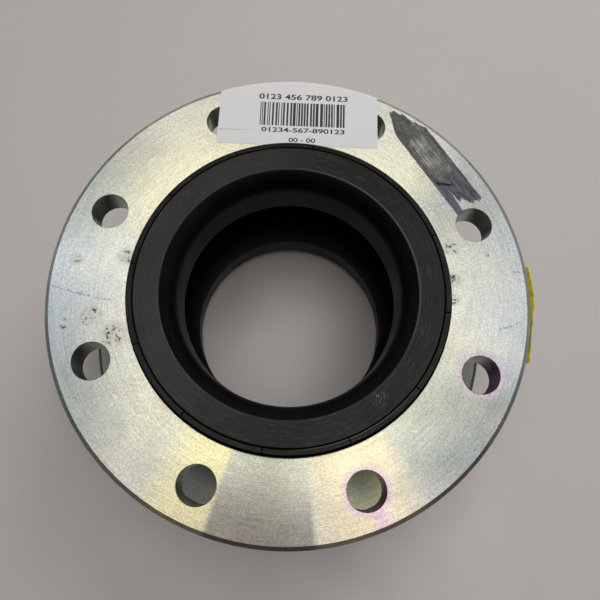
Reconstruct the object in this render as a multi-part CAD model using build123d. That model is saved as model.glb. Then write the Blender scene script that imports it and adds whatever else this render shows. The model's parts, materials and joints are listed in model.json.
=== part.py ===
from build123d import *

import math
import os

# Rubber expansion joint, DN150 PN16, single spherical arch, floating steel flanges.
# Millimetres. Z is the pipe axis, the origin is the centre of the lower sealing face.
# "depth" is the distance from a sealing face towards the middle of the joint.

# Connection sizes
FACE_TO_FACE = 130.0
FLANGE_DIAMETER = 285.0
FLANGE_THICKNESS = 20.0
BOLT_CIRCLE = 240.0
BOLT_COUNT = 8
BOLT_HOLE = 22.0
RIM_CHAMFER_WIDTH = 2.4
RIM_CHAMFER_DEPTH = 1.2
HOLE_EDGE_BREAK = 0.2
SEAL_STANDS_PROUD = 6.0
UPPER_FIRST_HOLE = 22.5
LOWER_FIRST_HOLE = 0.0

# Fits
SEAT_CLEARANCE = 0.4
SWIVEL_CLEARANCE = 0.05
BORE_CLEARANCE = 0.5
BOND_LINE = 0.02

# Flange seat for the bead
BEAD_BACK_DEPTH = 15.0
ROOT_RADIUS = 5.5

# Outer surface of the rubber body
NECK_OUTER_R = 80.5
CROWN_OUTER_R = 103.0

# Inner surface of the rubber body
SEAL_INNER_R = 75.6
THROAT_R = 67.0
THROAT_DEPTH = 14.0
LIP_R = 66.0
LIP_DEPTH = 33.0
LIP_FILLET = 0.8
CROWN_INNER_R = 93.0

# Layers of the wall, from the outside inwards
COVER_THICKNESS = 3.7
PLY_THICKNESS = 1.1
PLY_COUNT = 3

# Sealing collar
COLLAR_TOP_R = 94.2
COLLAR_BASE_R = 95.2
COLLAR_EDGE_ROUND = 0.5
COLLAR_STEP_DEPTH = 3.0
COLLAR_STEP_RUN = 0.5
COLLAR_BACK_THICKNESS = 1.6
GROOVE_R = 90.2
GROOVE_WIDTH = 0.8
GROOVE_DEPTH = 0.5
OUTER_BAND_DROP = 0.3
NOTCH_COUNT = 12
NOTCH_WIDTH = 0.8
NOTCH_DEPTH = 0.8
NOTCH_FIRST_ANGLE = 23.0

# Bead core: a bundle of one wire with six round it
WIRE_DIAMETER = 2.4
WIRE_PITCH = 2.45
WIRES_ROUND_CENTRE = 6
CORE_R = 3.75
CORE_TOP_COVER = 1.75
FILLER_START = 1.9

# Worked out from the sizes above
MID_DEPTH = FACE_TO_FACE / 2
FLANGE_FACE_DEPTH = SEAL_STANDS_PROUD
FLANGE_BACK_DEPTH = FLANGE_FACE_DEPTH + FLANGE_THICKNESS
FLANGE_BORE_R = NECK_OUTER_R + BORE_CLEARANCE
FLANGE_ROOT_R = ROOT_RADIUS - BORE_CLEARANCE
ROOT_CENTRE_R = NECK_OUTER_R + ROOT_RADIUS
ROOT_CENTRE_DEPTH = FLANGE_BACK_DEPTH - FLANGE_ROOT_R
PLIES_THICKNESS = PLY_COUNT * PLY_THICKNESS
TUBE_OFFSET = COVER_THICKNESS + PLIES_THICKNESS
CORE_CENTRE_R = NECK_OUTER_R - COVER_THICKNESS + CORE_R
CORE_DEPTH = CORE_R + PLIES_THICKNESS + CORE_TOP_COVER
TURN_UP_DEPTH = BEAD_BACK_DEPTH - COLLAR_BACK_THICKNESS


def tangent_arc_centre(crown_r, point_r, point_depth):
    """Radius of the centre, on the middle plane, of the arc from a point to the crown."""
    rise = MID_DEPTH - point_depth
    return (crown_r**2 - point_r**2 - rise**2) / (2 * (crown_r - point_r))


def outer_arch_centre():
    """Radius of the crown arc's centre, where that arc is tangent to the root arc."""
    rise = MID_DEPTH - ROOT_CENTRE_DEPTH
    reach = CROWN_OUTER_R + ROOT_RADIUS
    top = reach**2 - ROOT_CENTRE_R**2 - rise**2
    return top / (2 * (reach - ROOT_CENTRE_R))


ARCH_CENTRE_R = outer_arch_centre()
CAVITY_CENTRE_R = tangent_arc_centre(CROWN_INNER_R, LIP_R, LIP_DEPTH)


def spot(radius, depth, upper):
    """Point in the XZ plane at a radius and a depth below the upper or lower sealing face."""
    return (radius, 0, FACE_TO_FACE - depth if upper else depth)


def polar(centre_r, centre_depth, length, angle):
    """Radius and depth at a length and angle from a centre; 90 degrees is towards the middle."""
    turn = math.radians(angle)
    return centre_r + length * math.cos(turn), centre_depth + length * math.sin(turn)


def ring(edges):
    """Solid of revolution about Z of the area that the edges close in."""
    return revolve(make_face(edges), Axis.Z, 360)


def arc(start, middle, end, upper):
    return ThreePointArc(spot(*start, upper), spot(*middle, upper), spot(*end, upper))


def line(start, end, upper):
    return Line(spot(*start, upper), spot(*end, upper))


def chain(points, upper):
    """Straight edges through the points."""
    return [line(a, b, upper) for a, b in zip(points, points[1:])]


# Wall boundaries --------------------------------------------------------------------


def neck_r(offset):
    """Radius at the neck of the surface that lies an offset inside the outer surface."""
    return NECK_OUTER_R - offset


def root_turn():
    """Angle at the root centre from the neck to the point where the arch begins."""
    rise = MID_DEPTH - ROOT_CENTRE_DEPTH
    return math.degrees(math.atan2(rise, ARCH_CENTRE_R - ROOT_CENTRE_R))


def root_arc(offset, upper):
    """Arc from the neck out to the arch, round the rounded edge of the flange."""
    start, end = 180, root_turn()
    centre = (ROOT_CENTRE_R, ROOT_CENTRE_DEPTH, ROOT_RADIUS + offset)
    points = [polar(*centre, angle) for angle in (start, (start + end) / 2, end)]
    return arc(*points, upper), points[-1]


def wall_edges(offset, end_depth):
    """Edges of one surface of the wall from the lower end depth to the upper end depth."""
    edges = []
    shoulders = []
    for upper in (False, True):
        bend, shoulder = root_arc(offset, upper)
        edges.append(line((neck_r(offset), end_depth), (neck_r(offset), ROOT_CENTRE_DEPTH), upper))
        edges.append(bend)
        shoulders.append(spot(*shoulder, upper))
    crown = spot(CROWN_OUTER_R - offset, MID_DEPTH, True)
    edges.append(ThreePointArc(shoulders[0], crown, shoulders[1]))
    return edges


def cavity_edges():
    """Edges of the flow side: tapered necks, turned lips and the hollow of the arch."""
    edges = []
    for upper in (False, True):
        edges.append(line((THROAT_R, THROAT_DEPTH), (LIP_R, LIP_DEPTH), upper))
    lips = [spot(LIP_R, LIP_DEPTH, upper) for upper in (False, True)]
    edges.append(ThreePointArc(lips[0], spot(CROWN_INNER_R, MID_DEPTH, True), lips[1]))
    return edges


# Rubber body ------------------------------------------------------------------------


def outer_cover():
    """Weather-resistant rubber over the plies, from bead to bead."""
    inner = COVER_THICKNESS - BOND_LINE
    end = BEAD_BACK_DEPTH + BOND_LINE
    edges = wall_edges(0, end) + wall_edges(inner, end)
    for upper in (False, True):
        edges.append(line((neck_r(0), end), (neck_r(inner), end), upper))
    return ring(edges)


def hook_edges(offset, upper):
    """Edges of a ply surface from the neck, over the bead core and down its outer side."""
    reach = CORE_CENTRE_R - neck_r(offset)
    inside = (CORE_CENTRE_R - reach, CORE_DEPTH)
    over = (CORE_CENTRE_R, CORE_DEPTH - reach)
    outside = (CORE_CENTRE_R + reach, CORE_DEPTH)
    end = (outside[0], TURN_UP_DEPTH - BOND_LINE)
    return [arc(inside, over, outside, upper), line(outside, end, upper)], end


def cord_ply(index):
    """Cord fabric from bead to bead, each end turned over the wires; 0 is next to the tube."""
    outside = TUBE_OFFSET - (index + 1) * PLY_THICKNESS
    faces = (outside + BOND_LINE / 2, outside + PLY_THICKNESS - BOND_LINE / 2)
    edges = []
    ends = {True: [], False: []}
    for offset in faces:
        edges += wall_edges(offset, CORE_DEPTH)
        for upper in (False, True):
            hook, end = hook_edges(offset, upper)
            edges += hook
            ends[upper].append(end)
    for upper in (False, True):
        edges.append(line(*ends[upper], upper))
    return ring(edges)


def inner_tube():
    """Seamless tube on the flow side, thick at the necks and thin round the arch."""
    offset = TUBE_OFFSET + BOND_LINE
    edges = cavity_edges() + wall_edges(offset, THROAT_DEPTH)
    for upper in (False, True):
        edges.append(line((THROAT_R, THROAT_DEPTH), (neck_r(offset), THROAT_DEPTH), upper))
    tube = ring(edges)
    lips = [
        edge
        for edge in tube.edges().filter_by(GeomType.CIRCLE)
        if abs(edge.radius - LIP_R) < BOND_LINE
    ]
    return fillet(lips, LIP_FILLET)


# Bead -------------------------------------------------------------------------------


def sealing_collar(upper):
    """Rubber bead that seals on the pipe flange, wrapped over the turned plies."""
    flare = flare_middle()
    band = OUTER_BAND_DROP
    lower_edge = COLLAR_STEP_DEPTH + COLLAR_STEP_RUN
    reach = CORE_CENTRE_R - neck_r(TUBE_OFFSET) + BOND_LINE
    throat_end = THROAT_DEPTH - BOND_LINE
    outline = [
        (SEAL_INNER_R, 0),
        (GROOVE_R, 0),
        (GROOVE_R, GROOVE_DEPTH),
        (GROOVE_R + GROOVE_WIDTH, GROOVE_DEPTH),
        (GROOVE_R + GROOVE_WIDTH, band),
        (COLLAR_TOP_R - COLLAR_EDGE_ROUND, band),
        (COLLAR_TOP_R, band + COLLAR_EDGE_ROUND),
        (COLLAR_TOP_R, COLLAR_STEP_DEPTH),
        (COLLAR_BASE_R, lower_edge),
        (COLLAR_BASE_R, BEAD_BACK_DEPTH),
        (neck_r(COVER_THICKNESS) + BOND_LINE, BEAD_BACK_DEPTH),
        (neck_r(COVER_THICKNESS) + BOND_LINE, TURN_UP_DEPTH),
        (CORE_CENTRE_R + reach, TURN_UP_DEPTH),
        (CORE_CENTRE_R + reach, CORE_DEPTH),
    ]
    inside = [
        (CORE_CENTRE_R - reach, CORE_DEPTH),
        (CORE_CENTRE_R - reach, throat_end),
        (THROAT_R, throat_end),
    ]
    edges = chain(outline, upper) + chain(inside, upper)
    edges.append(arc(outline[-1], (CORE_CENTRE_R, CORE_DEPTH - reach), inside[0], upper))
    edges.append(arc(inside[-1], flare, outline[0], upper))
    return ring(edges) - moulding_notches(upper)


def flare_middle():
    """Middle point of the arc from the throat out to the sealing face, upright at the throat."""
    run = SEAL_INNER_R - THROAT_R
    radius = (run**2 + THROAT_DEPTH**2) / (2 * run)
    half_turn = math.degrees(math.asin(THROAT_DEPTH / radius)) / 2
    return polar(THROAT_R + radius, THROAT_DEPTH, radius, 180 + half_turn)


def moulding_notches(upper):
    """Vent notches that the mould leaves across the outer band of the sealing face."""
    length = COLLAR_BASE_R - GROOVE_R
    blank = Box(length, NOTCH_WIDTH, 2 * NOTCH_DEPTH, align=(Align.MIN, Align.CENTER, Align.CENTER))
    height = FACE_TO_FACE if upper else 0
    notches = []
    for index in range(NOTCH_COUNT):
        angle = NOTCH_FIRST_ANGLE + index * 360 / NOTCH_COUNT
        notches.append(Pos(0, 0, height) * Rot(0, 0, angle) * Pos(GROOVE_R, 0, 0) * blank)
    return notches


def wire(radius, depth, upper):
    """One endless wire of the bead core."""
    height = FACE_TO_FACE - depth if upper else depth
    return Pos(0, 0, height) * Torus(radius, WIRE_DIAMETER / 2)


def bead_wires(upper):
    """The bundle of wires that keeps the bead from stretching."""
    wires = [wire(CORE_CENTRE_R, CORE_DEPTH, upper)]
    for index in range(WIRES_ROUND_CENTRE):
        angle = index * 360 / WIRES_ROUND_CENTRE
        wires.append(wire(*polar(CORE_CENTRE_R, CORE_DEPTH, WIRE_PITCH, angle), upper))
    return Compound(children=wires)


def bead_filler(upper):
    """Hard rubber that fills the bead under the wires, between the two legs of the plies."""
    width = CORE_R - BOND_LINE
    bottom = TURN_UP_DEPTH - BOND_LINE
    top = CORE_DEPTH + FILLER_START
    span = math.sqrt(CORE_R**2 - FILLER_START**2)
    outline = [
        (CORE_CENTRE_R - span, top),
        (CORE_CENTRE_R - width, top),
        (CORE_CENTRE_R - width, bottom),
        (CORE_CENTRE_R + width, bottom),
        (CORE_CENTRE_R + width, top),
        (CORE_CENTRE_R + span, top),
    ]
    edges = chain(outline, upper)
    edges.append(arc(outline[0], (CORE_CENTRE_R, CORE_DEPTH + CORE_R), outline[-1], upper))
    return ring(edges)


# Flange -----------------------------------------------------------------------------


def floating_flange(upper, first_hole):
    """Steel ring that turns freely on the neck and clamps the bead from behind."""
    seat_r = COLLAR_BASE_R + SEAT_CLEARANCE
    seat_depth = BEAD_BACK_DEPTH + SWIVEL_CLEARANCE
    rim_r = FLANGE_DIAMETER / 2
    root_middle = polar(ROOT_CENTRE_R, ROOT_CENTRE_DEPTH, FLANGE_ROOT_R, 135)
    outline = [
        (ROOT_CENTRE_R, FLANGE_BACK_DEPTH),
        (rim_r - RIM_CHAMFER_WIDTH, FLANGE_BACK_DEPTH),
        (rim_r, FLANGE_BACK_DEPTH - RIM_CHAMFER_DEPTH),
        (rim_r, FLANGE_FACE_DEPTH + RIM_CHAMFER_DEPTH),
        (rim_r - RIM_CHAMFER_WIDTH, FLANGE_FACE_DEPTH),
        (seat_r, FLANGE_FACE_DEPTH),
        (seat_r, seat_depth),
        (FLANGE_BORE_R, seat_depth),
        (FLANGE_BORE_R, ROOT_CENTRE_DEPTH),
    ]
    edges = chain(outline, upper)
    edges.append(arc(outline[-1], root_middle, outline[0], upper))
    middle = FLANGE_FACE_DEPTH + FLANGE_THICKNESS / 2
    height = FACE_TO_FACE - middle if upper else middle
    drill = Pos(BOLT_CIRCLE / 2, 0, height) * Cylinder(BOLT_HOLE / 2, 2 * FLANGE_THICKNESS)
    holes = [Rot(0, 0, first_hole + index * 360 / BOLT_COUNT) * drill for index in range(BOLT_COUNT)]
    flange = ring(edges) - holes
    rims = [
        edge
        for edge in flange.edges().filter_by(GeomType.CIRCLE)
        if abs(edge.radius - BOLT_HOLE / 2) < BOND_LINE
    ]
    return chamfer(rims, HOLE_EDGE_BREAK)


def build_nodes():
    """Every separate piece by its name."""
    nodes = {
        "inner_tube": inner_tube(),
        "outer_cover": outer_cover(),
        "upper_flange": floating_flange(True, UPPER_FIRST_HOLE),
        "lower_flange": floating_flange(False, LOWER_FIRST_HOLE),
    }
    for index in range(PLY_COUNT):
        nodes[f"cord_ply_{index + 1}"] = cord_ply(index)
    for end, upper in (("upper", True), ("lower", False)):
        nodes[f"{end}_sealing_collar"] = sealing_collar(upper)
        nodes[f"{end}_bead_wires"] = bead_wires(upper)
        nodes[f"{end}_bead_filler"] = bead_filler(upper)
    return nodes


os.makedirs("parts", exist_ok=True)
for name, solid in build_nodes().items():
    solid.label = name
    export_step(solid, f"parts/{name}.step")
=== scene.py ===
import json
import math
import random

import bpy
from mathutils import Matrix, Vector

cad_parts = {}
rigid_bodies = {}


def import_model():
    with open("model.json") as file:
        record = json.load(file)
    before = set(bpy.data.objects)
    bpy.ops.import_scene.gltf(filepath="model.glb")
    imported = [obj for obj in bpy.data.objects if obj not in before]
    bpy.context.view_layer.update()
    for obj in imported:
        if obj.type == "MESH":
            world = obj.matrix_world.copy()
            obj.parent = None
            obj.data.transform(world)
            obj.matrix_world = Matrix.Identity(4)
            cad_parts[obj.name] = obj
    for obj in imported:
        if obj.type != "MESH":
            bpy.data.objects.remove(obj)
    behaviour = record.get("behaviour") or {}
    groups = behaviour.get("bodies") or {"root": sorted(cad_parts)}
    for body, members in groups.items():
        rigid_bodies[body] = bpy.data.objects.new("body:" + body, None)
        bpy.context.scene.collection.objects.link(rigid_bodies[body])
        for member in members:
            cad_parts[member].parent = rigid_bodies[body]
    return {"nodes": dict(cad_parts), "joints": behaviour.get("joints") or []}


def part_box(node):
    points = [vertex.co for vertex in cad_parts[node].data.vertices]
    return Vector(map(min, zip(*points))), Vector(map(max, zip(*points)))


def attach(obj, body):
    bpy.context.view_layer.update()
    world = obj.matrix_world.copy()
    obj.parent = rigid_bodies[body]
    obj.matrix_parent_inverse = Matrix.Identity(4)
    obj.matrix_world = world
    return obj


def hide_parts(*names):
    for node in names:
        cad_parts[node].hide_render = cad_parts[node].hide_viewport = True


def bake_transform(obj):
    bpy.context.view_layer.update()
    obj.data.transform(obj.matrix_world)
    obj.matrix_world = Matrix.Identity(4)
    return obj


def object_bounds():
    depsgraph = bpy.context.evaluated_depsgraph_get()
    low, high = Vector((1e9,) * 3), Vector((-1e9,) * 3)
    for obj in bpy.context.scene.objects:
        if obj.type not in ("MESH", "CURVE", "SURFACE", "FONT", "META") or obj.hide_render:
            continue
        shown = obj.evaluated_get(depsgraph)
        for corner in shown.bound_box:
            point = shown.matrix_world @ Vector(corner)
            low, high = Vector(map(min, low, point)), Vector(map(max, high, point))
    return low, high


# Looks of the rubber expansion joint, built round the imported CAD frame. Metres, +Z up.

MM = 0.001

# Wall of the bellows, the same sizes as the CAD layers that the bands stand for
NECK_R = 80.5 * MM
ROOT_RADIUS = 5.5 * MM
ROOT_CENTRE_Z = 21.0 * MM
THROAT = (67.0 * MM, 14.0 * MM)
LIP = (66.0 * MM, 33.0 * MM)
LIP_FILLET = 0.8 * MM
CAVITY_CROWN_R = 93.0 * MM
COVER_THICKNESS = 3.7 * MM
PLIES_THICKNESS = 3.3 * MM
COVER_END = 15.0 * MM
PLY_END = 8.8 * MM
BAND_SEGMENTS = 192
PROFILE_STEP = 1.0 * MM

# Camera: place above the upper flange, the way it looks and its roll
CAMERA_OFFSET = (3.52 * MM, -95.59 * MM)
CAMERA_HEIGHT = 326.1 * MM
CAMERA_AIM = (6.38 * MM, -5.67 * MM)
CAMERA_ROLL = math.radians(-3.885)
CAMERA_LENS = 34.66
SENSOR = 36.0

# Light: brightness overhead and at the walls, where the bright dome is and how wide (cosines), the shaded
# left, the dark front, the sides of the dark spot overhead, the light from below, and the key lamp
DOME_LIGHT = 2.85
WALL_LIGHT = 0.05
LOW_WALL_LIGHT = 0.42
DOME_WAY = (0.0, 0.0, 1.0)
DOME_EDGE = 0.87
DOME_FULL = 0.93
LOW_WALL_TOP = (0.22, 0.44)
SHADE_SIDE = 0.70
FRONT_EDGE = (0.20, 0.52)
FRONT_DARK = 0.88
DARK_SPOT = (-0.144, 0.022, -0.80, 0.10)
SPOT_DARK = 0.92
UNDER_LIGHT = 0.25
KEY_PLACE = (0.46, 0.84, 1.15)
KEY_SIZE = (0.8, 0.8)
KEY_POWER = 8.0
WARM_WHITE = (1.0, 0.985, 0.96)
COOL_WHITE = (0.94, 0.97, 1.0)
FLOOR_HALF = 3.0

# Colours that several materials share, in linear light
INK_GREY = (0.085, 0.080, 0.078)
INK_VIOLET = (0.095, 0.090, 0.112)
INK_DARK = (0.012, 0.012, 0.020)
INK_PALE = (0.15, 0.145, 0.16)
RUBBER_SHINE = 0.18
THROAT_SHINE = 0.13
HOLLOW_SHINE = 0.03
RUBBER_BLACK = (0.0022, 0.0023, 0.0025)
RUBBER_FACE = (0.036, 0.036, 0.035)
# The collar face's darker side: painted shade
RUBBER_FACE_SHADED_SIDE = (0.013, 0.0135, 0.0135)
# Painted shade on the outer band of the collar face
RUBBER_BAND_PAINTED_SHADE = (0.008, 0.008, 0.008)
RUBBER_BLOOM = (0.010, 0.010, 0.010)
RUBBER_STREAK = (0.085, 0.083, 0.078)
RUBBER_DUST = (0.12, 0.115, 0.105)

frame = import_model()
CAD_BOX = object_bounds()
NODES = frame["nodes"]
HEIGHT = CAD_BOX[1].z - CAD_BOX[0].z
MIDDLE = (CAD_BOX[1].z + CAD_BOX[0].z) / 2
FACE_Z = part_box("upper_flange")[1].z
RIM_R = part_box("upper_flange")[1].x
CROWN_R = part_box("outer_cover")[1].x
COLLAR_TOP = CAD_BOX[1].z

# Flange: its drilling, its bright face from the collar to the rim, and how far under the face the looks of
# the face fade out
BOLT_CIRCLE_R = 120.0 * MM
HOLE_COUNT = 8
UPPER_FIRST_HOLE = 22.5
LOWER_FIRST_HOLE = 0.0
HOLE_R = 11.0 * MM
HALO_WIDTH = 5.0 * MM
FACE_INNER_R = 96.0 * MM
FACE_OUTER_R = 140.0 * MM
FACE_FADE = (2.2 * MM, 1.2 * MM)

# Collar: its face, the groove round it and the edge where it turns into the throat
COLLAR_INNER_R = 75.5 * MM
COLLAR_OUTER_R = 94.4 * MM
GROOVE_R = (89.9 * MM, 91.1 * MM)
WORN_EDGE_R = (75.3 * MM, 76.4 * MM)


# Node graphs ------------------------------------------------------------------------


class Graph:
    """The nodes of a material or the world, made by calls that take numbers or other sockets."""

    def __init__(self, name, world=False):
        self.material = (bpy.data.worlds if world else bpy.data.materials).new(name)
        self.material.use_nodes = True
        self.tree = self.material.node_tree
        self.tree.nodes.clear()
        self.place = None

    def add(self, kind, inputs=(), **settings):
        node = self.tree.nodes.new(kind)
        for key, value in settings.items():
            setattr(node, key, value)
        for key, value in dict(inputs).items():
            self.feed(node.inputs[key], value)
        return node

    def feed(self, socket, value):
        if isinstance(value, bpy.types.NodeSocket):
            self.tree.links.new(value, socket)
        elif value is not None:
            socket.default_value = value

    def math(self, operation, a, b=None):
        return self.add("ShaderNodeMath", {0: a, 1: b}, operation=operation).outputs[0]

    def times(self, a, b):
        return self.math("MULTIPLY", a, b)

    def plus(self, a, b):
        return self.math("ADD", a, b)

    def less(self, a, b):
        return self.math("SUBTRACT", a, b)

    def length(self, a, b):
        """Length of the hypotenuse over two sides."""
        return self.math("SQRT", self.plus(self.times(a, a), self.times(b, b)))

    def xyz(self, x, y, z):
        return self.add("ShaderNodeCombineXYZ", {0: x, 1: y, 2: z}).outputs[0]

    def shifted(self, vector, offset):
        return self.add("ShaderNodeVectorMath", {0: vector, 1: offset}).outputs[0]

    def position(self):
        """The point in the row frame, split into its three numbers."""
        if self.place is None:
            here = self.add("ShaderNodeTexCoord").outputs["Object"]
            parts = self.add("ShaderNodeSeparateXYZ", {0: here}).outputs
            self.place = (here, parts[0], parts[1], parts[2])
        return self.place

    def noise(self, vector, scale, detail=3.0, rough=0.5, distort=0.0):
        values = {"Vector": vector, "Scale": scale, "Detail": detail, "Roughness": rough}
        values["Distortion"] = distort
        return self.add("ShaderNodeTexNoise", values).outputs["Fac"]

    def cells(self, vector, scale):
        """Distance from the nearest of many scattered points."""
        return self.add("ShaderNodeTexVoronoi", {"Vector": vector, "Scale": scale}).outputs["Distance"]

    def step(self, value, start, end, low=0.0, high=1.0):
        """Smooth step from low at start to high at end."""
        node = self.add(
            "ShaderNodeMapRange",
            {0: value, 1: start, 2: end, 3: low, 4: high},
            interpolation_type="SMOOTHSTEP",
        )
        return node.outputs[0]

    def window(self, value, low, high, soft):
        """One between low and high, nothing outside, with soft edges."""
        rise = self.step(value, low - soft, low + soft)
        fall = self.step(value, high - soft, high + soft, 1.0, 0.0)
        return self.times(rise, fall)

    def mix(self, share, a, b, blend="MIX"):
        node = self.add("ShaderNodeMix", data_type="RGBA", blend_type=blend)
        for index, value in ((0, share), (6, a), (7, b)):
            if isinstance(value, tuple):
                value = (*value, 1.0)[:4]
            self.feed(node.inputs[index], value)
        return node.outputs[2]

    def shade(self, colour, value, start, end, low, high):
        """The colour times a smooth step of the value, from low at start to high at end."""
        return self.mix(1.0, colour, self.step(value, start, end, low, high), "MULTIPLY")

    def ramp(self, value, *stops):
        node = self.add("ShaderNodeValToRGB", {0: value})
        while len(node.color_ramp.elements) < len(stops):
            node.color_ramp.elements.new(0.5)
        for element, (place, colour) in zip(node.color_ramp.elements, stops):
            element.position = place
            element.color = (*colour, 1.0)
        return node.outputs[0]

    def bump(self, height, distance, strength):
        values = {"Height": height, "Distance": distance, "Strength": strength}
        return self.add("ShaderNodeBump", values).outputs[0]

    def finish(self, colour, rough, normal=None, metallic=0.0, **more):
        values = {"Base Color": colour, "Roughness": rough, "Metallic": metallic, "Normal": normal}
        values.update({key.replace("_", " "): value for key, value in more.items()})
        if isinstance(colour, tuple):
            values["Base Color"] = (*colour, 1.0)
        shader = self.add("ShaderNodeBsdfPrincipled", values)
        self.add("ShaderNodeOutputMaterial", {"Surface": shader.outputs[0]})
        return self.material


def radius_of(graph):
    """Distance from the pipe axis, and the cosine and sine of the angle round it."""
    _, x, y, _ = graph.position()
    radius = graph.length(x, y)
    return radius, graph.math("DIVIDE", x, radius), graph.math("DIVIDE", y, radius)


# Materials --------------------------------------------------------------------------


def lobe(graph, cosine, sine, degrees, half_width, soft=1.0):
    """One in a sector round an angle, fading to nothing at its half width."""
    turn = math.radians(degrees)
    near = graph.plus(graph.times(cosine, math.cos(turn)), graph.times(sine, math.sin(turn)))
    edge = math.cos(math.radians(half_width))
    inner = math.cos(math.radians(half_width * (1.0 - soft)))
    return graph.step(near, edge, inner)


def above(graph, value, edge, soft):
    """One where the value is over the edge, which may be another socket, nothing below it."""
    return graph.step(graph.less(value, edge), -soft, soft)


# Marker ink, in mm along and across the streak: cosine and sine of its direction, then its edges. A slanted
# edge is given at two places, each as (how far along or across that is, where the edge lies there)
INK_TURN = (0.575, 0.818)
INK_INNER = ((-67, 118.4), (-46, 112.7))
INK_OUTER = 132.4
INK_START = ((120.5, -65), (134, -43))
INK_FINISH = ((120.5, 8), (126, 14.5))
INK_TAIL = ((118.0, 14), (118.8, 0))
INK_SPLIT = 118.5


def slanted(graph, value, edge):
    """An edge that moves smoothly between two places while the value goes from one to another."""
    (start, low), (end, high) = edge
    return graph.step(value, start * MM, end * MM, low * MM, high * MM)


def ink_mask(graph):
    """Where the marker went over the flange: a broad mass that ends in two tails, torn into lanes."""
    _, x, y, z = graph.position()
    cosine, sine = INK_TURN
    along = graph.less(graph.times(x, cosine), graph.times(y, sine))
    across = graph.plus(graph.times(x, sine), graph.times(y, cosine))
    lane = graph.noise(graph.xyz(graph.times(across, 520.0), graph.times(along, 14.0), 1.2), 1.0, 3.0, 0.7)
    shift = graph.times(graph.less(lane, 0.5), 11 * MM)
    wave = graph.times(graph.less(graph.noise(graph.xyz(x, y, 0.1), 150.0, 3.0, 0.6), 0.5), 1.2 * MM)
    side = graph.plus(across, wave)
    inner = slanted(graph, along, INK_INNER)
    start = slanted(graph, across, INK_START)
    finish = graph.plus(slanted(graph, across, INK_FINISH), slanted(graph, across, INK_TAIL))
    mask = graph.times(above(graph, side, inner, 0.3 * MM), above(graph, INK_OUTER * MM, side, 0.3 * MM))
    mask = graph.times(mask, above(graph, graph.plus(along, shift), start, 0.5 * MM))
    mask = graph.times(mask, above(graph, finish, graph.plus(along, graph.times(shift, 1.2)), 0.5 * MM))
    split = graph.times(graph.less(along, 1 * MM), 0.08)
    off_gap = graph.math("ABSOLUTE", graph.less(side, INK_SPLIT * MM))
    mask = graph.times(mask, above(graph, off_gap, split, 0.25 * MM))
    top = graph.step(z, FACE_Z - 0.6 * MM, FACE_Z - 0.2 * MM)
    return graph.times(mask, top), along, across


def add_ink(graph, colour):
    """Marker ink over the metal. Returns the new colour and how much ink there is."""
    mask, along, across = ink_mask(graph)
    fine = graph.xyz(graph.times(along, 45.0), graph.times(across, 1100.0), 0.0)
    lines = graph.noise(fine, 1.0, 4.0, 0.65)
    worn = graph.noise(graph.xyz(along, across, 0.3), 75.0, 4.0, 0.7)
    centre = graph.window(along, -46 * MM, -12 * MM, 9 * MM)
    inner = graph.window(across, 116 * MM, 129 * MM, 3 * MM)
    thin = graph.plus(graph.times(lines, 0.7), graph.times(worn, 0.6))
    thin = graph.less(thin, graph.times(graph.times(centre, inner), 0.14))
    cover = graph.times(mask, graph.step(thin, 0.36, 0.60, 0.45, 1.0))
    slant = graph.less(along, graph.times(graph.less(across, 118 * MM), 0.8))
    cross = graph.window(slant, -6.6 * MM, -4.6 * MM, 0.5 * MM)
    cross = graph.times(cross, graph.window(across, 114.5 * MM, 122 * MM, 1.2 * MM))
    lower = graph.step(along, -26 * MM, 2 * MM)
    tone = graph.mix(lower, INK_GREY, INK_VIOLET)
    fleck = graph.step(graph.noise(graph.xyz(along, across, 0.7), 260.0, 2.0), 0.4, 0.8, 0.0, 0.5)
    tone = graph.mix(graph.times(fleck, graph.less(1.0, graph.times(lower, 0.6))), tone, INK_PALE)
    wiped = graph.noise(graph.xyz(graph.times(along, 90.0), graph.times(across, 700.0), 0.4), 1.0, 3.0, 0.7)
    strokes = graph.plus(graph.times(lines, 0.5), graph.times(wiped, 0.5))
    tone = graph.shade(tone, strokes, 0.36, 0.62, 0.55, 1.75)
    cross = graph.times(cross, mask)
    cover = graph.math("MAXIMUM", cover, graph.times(cross, 0.97))
    tone = graph.mix(cross, tone, INK_DARK)
    return graph.mix(cover, colour, tone), cover


# Tints in sectors, partly the plating's passivation tint and partly painted reflection: angle round the axis,
# half width of the sector, strength, colour
TINTS_AND_PAINTED_REFLECTIONS = (
    (176.0, 32.0, 0.75, (0.86, 0.90, 0.90)),
    (132.0, 40.0, 0.90, (1.0, 0.96, 0.76)),
    (60.0, 28.0, 0.95, (1.0, 1.0, 0.84)),
    (28.0, 20.0, 0.60, (0.56, 0.56, 0.54)),
    (6.0, 20.0, 0.60, (0.76, 0.77, 0.77)),
    (-40.0, 25.0, 0.90, (0.49, 0.50, 0.45)),
    (-69.0, 17.0, 0.92, (0.88, 0.75, 0.55)),
    (-138.0, 24.0, 0.70, (0.70, 0.67, 0.54)),
    (-112.0, 14.0, 0.92, (0.95, 0.88, 0.54)),
    (-152.0, 22.0, 0.60, (0.66, 0.69, 0.65)),
)
# A painted dark reflection over a sector, with crisp sides: angle, half width, how soft the sides are, then
# its colour near the collar and at the rim
PAINTED_DARK_REFLECTION = (-94.5, 13.2, 0.14, (0.69, 0.69, 0.62), (0.38, 0.36, 0.32))

# Sectors that are darker towards the rim: angle and half width
RIM_SHADES = ((-38.0, 24.0), (150.0, 22.0), (-160.0, 28.0))
RIM_SHADE = (0.70, 0.72, 0.76)

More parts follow.
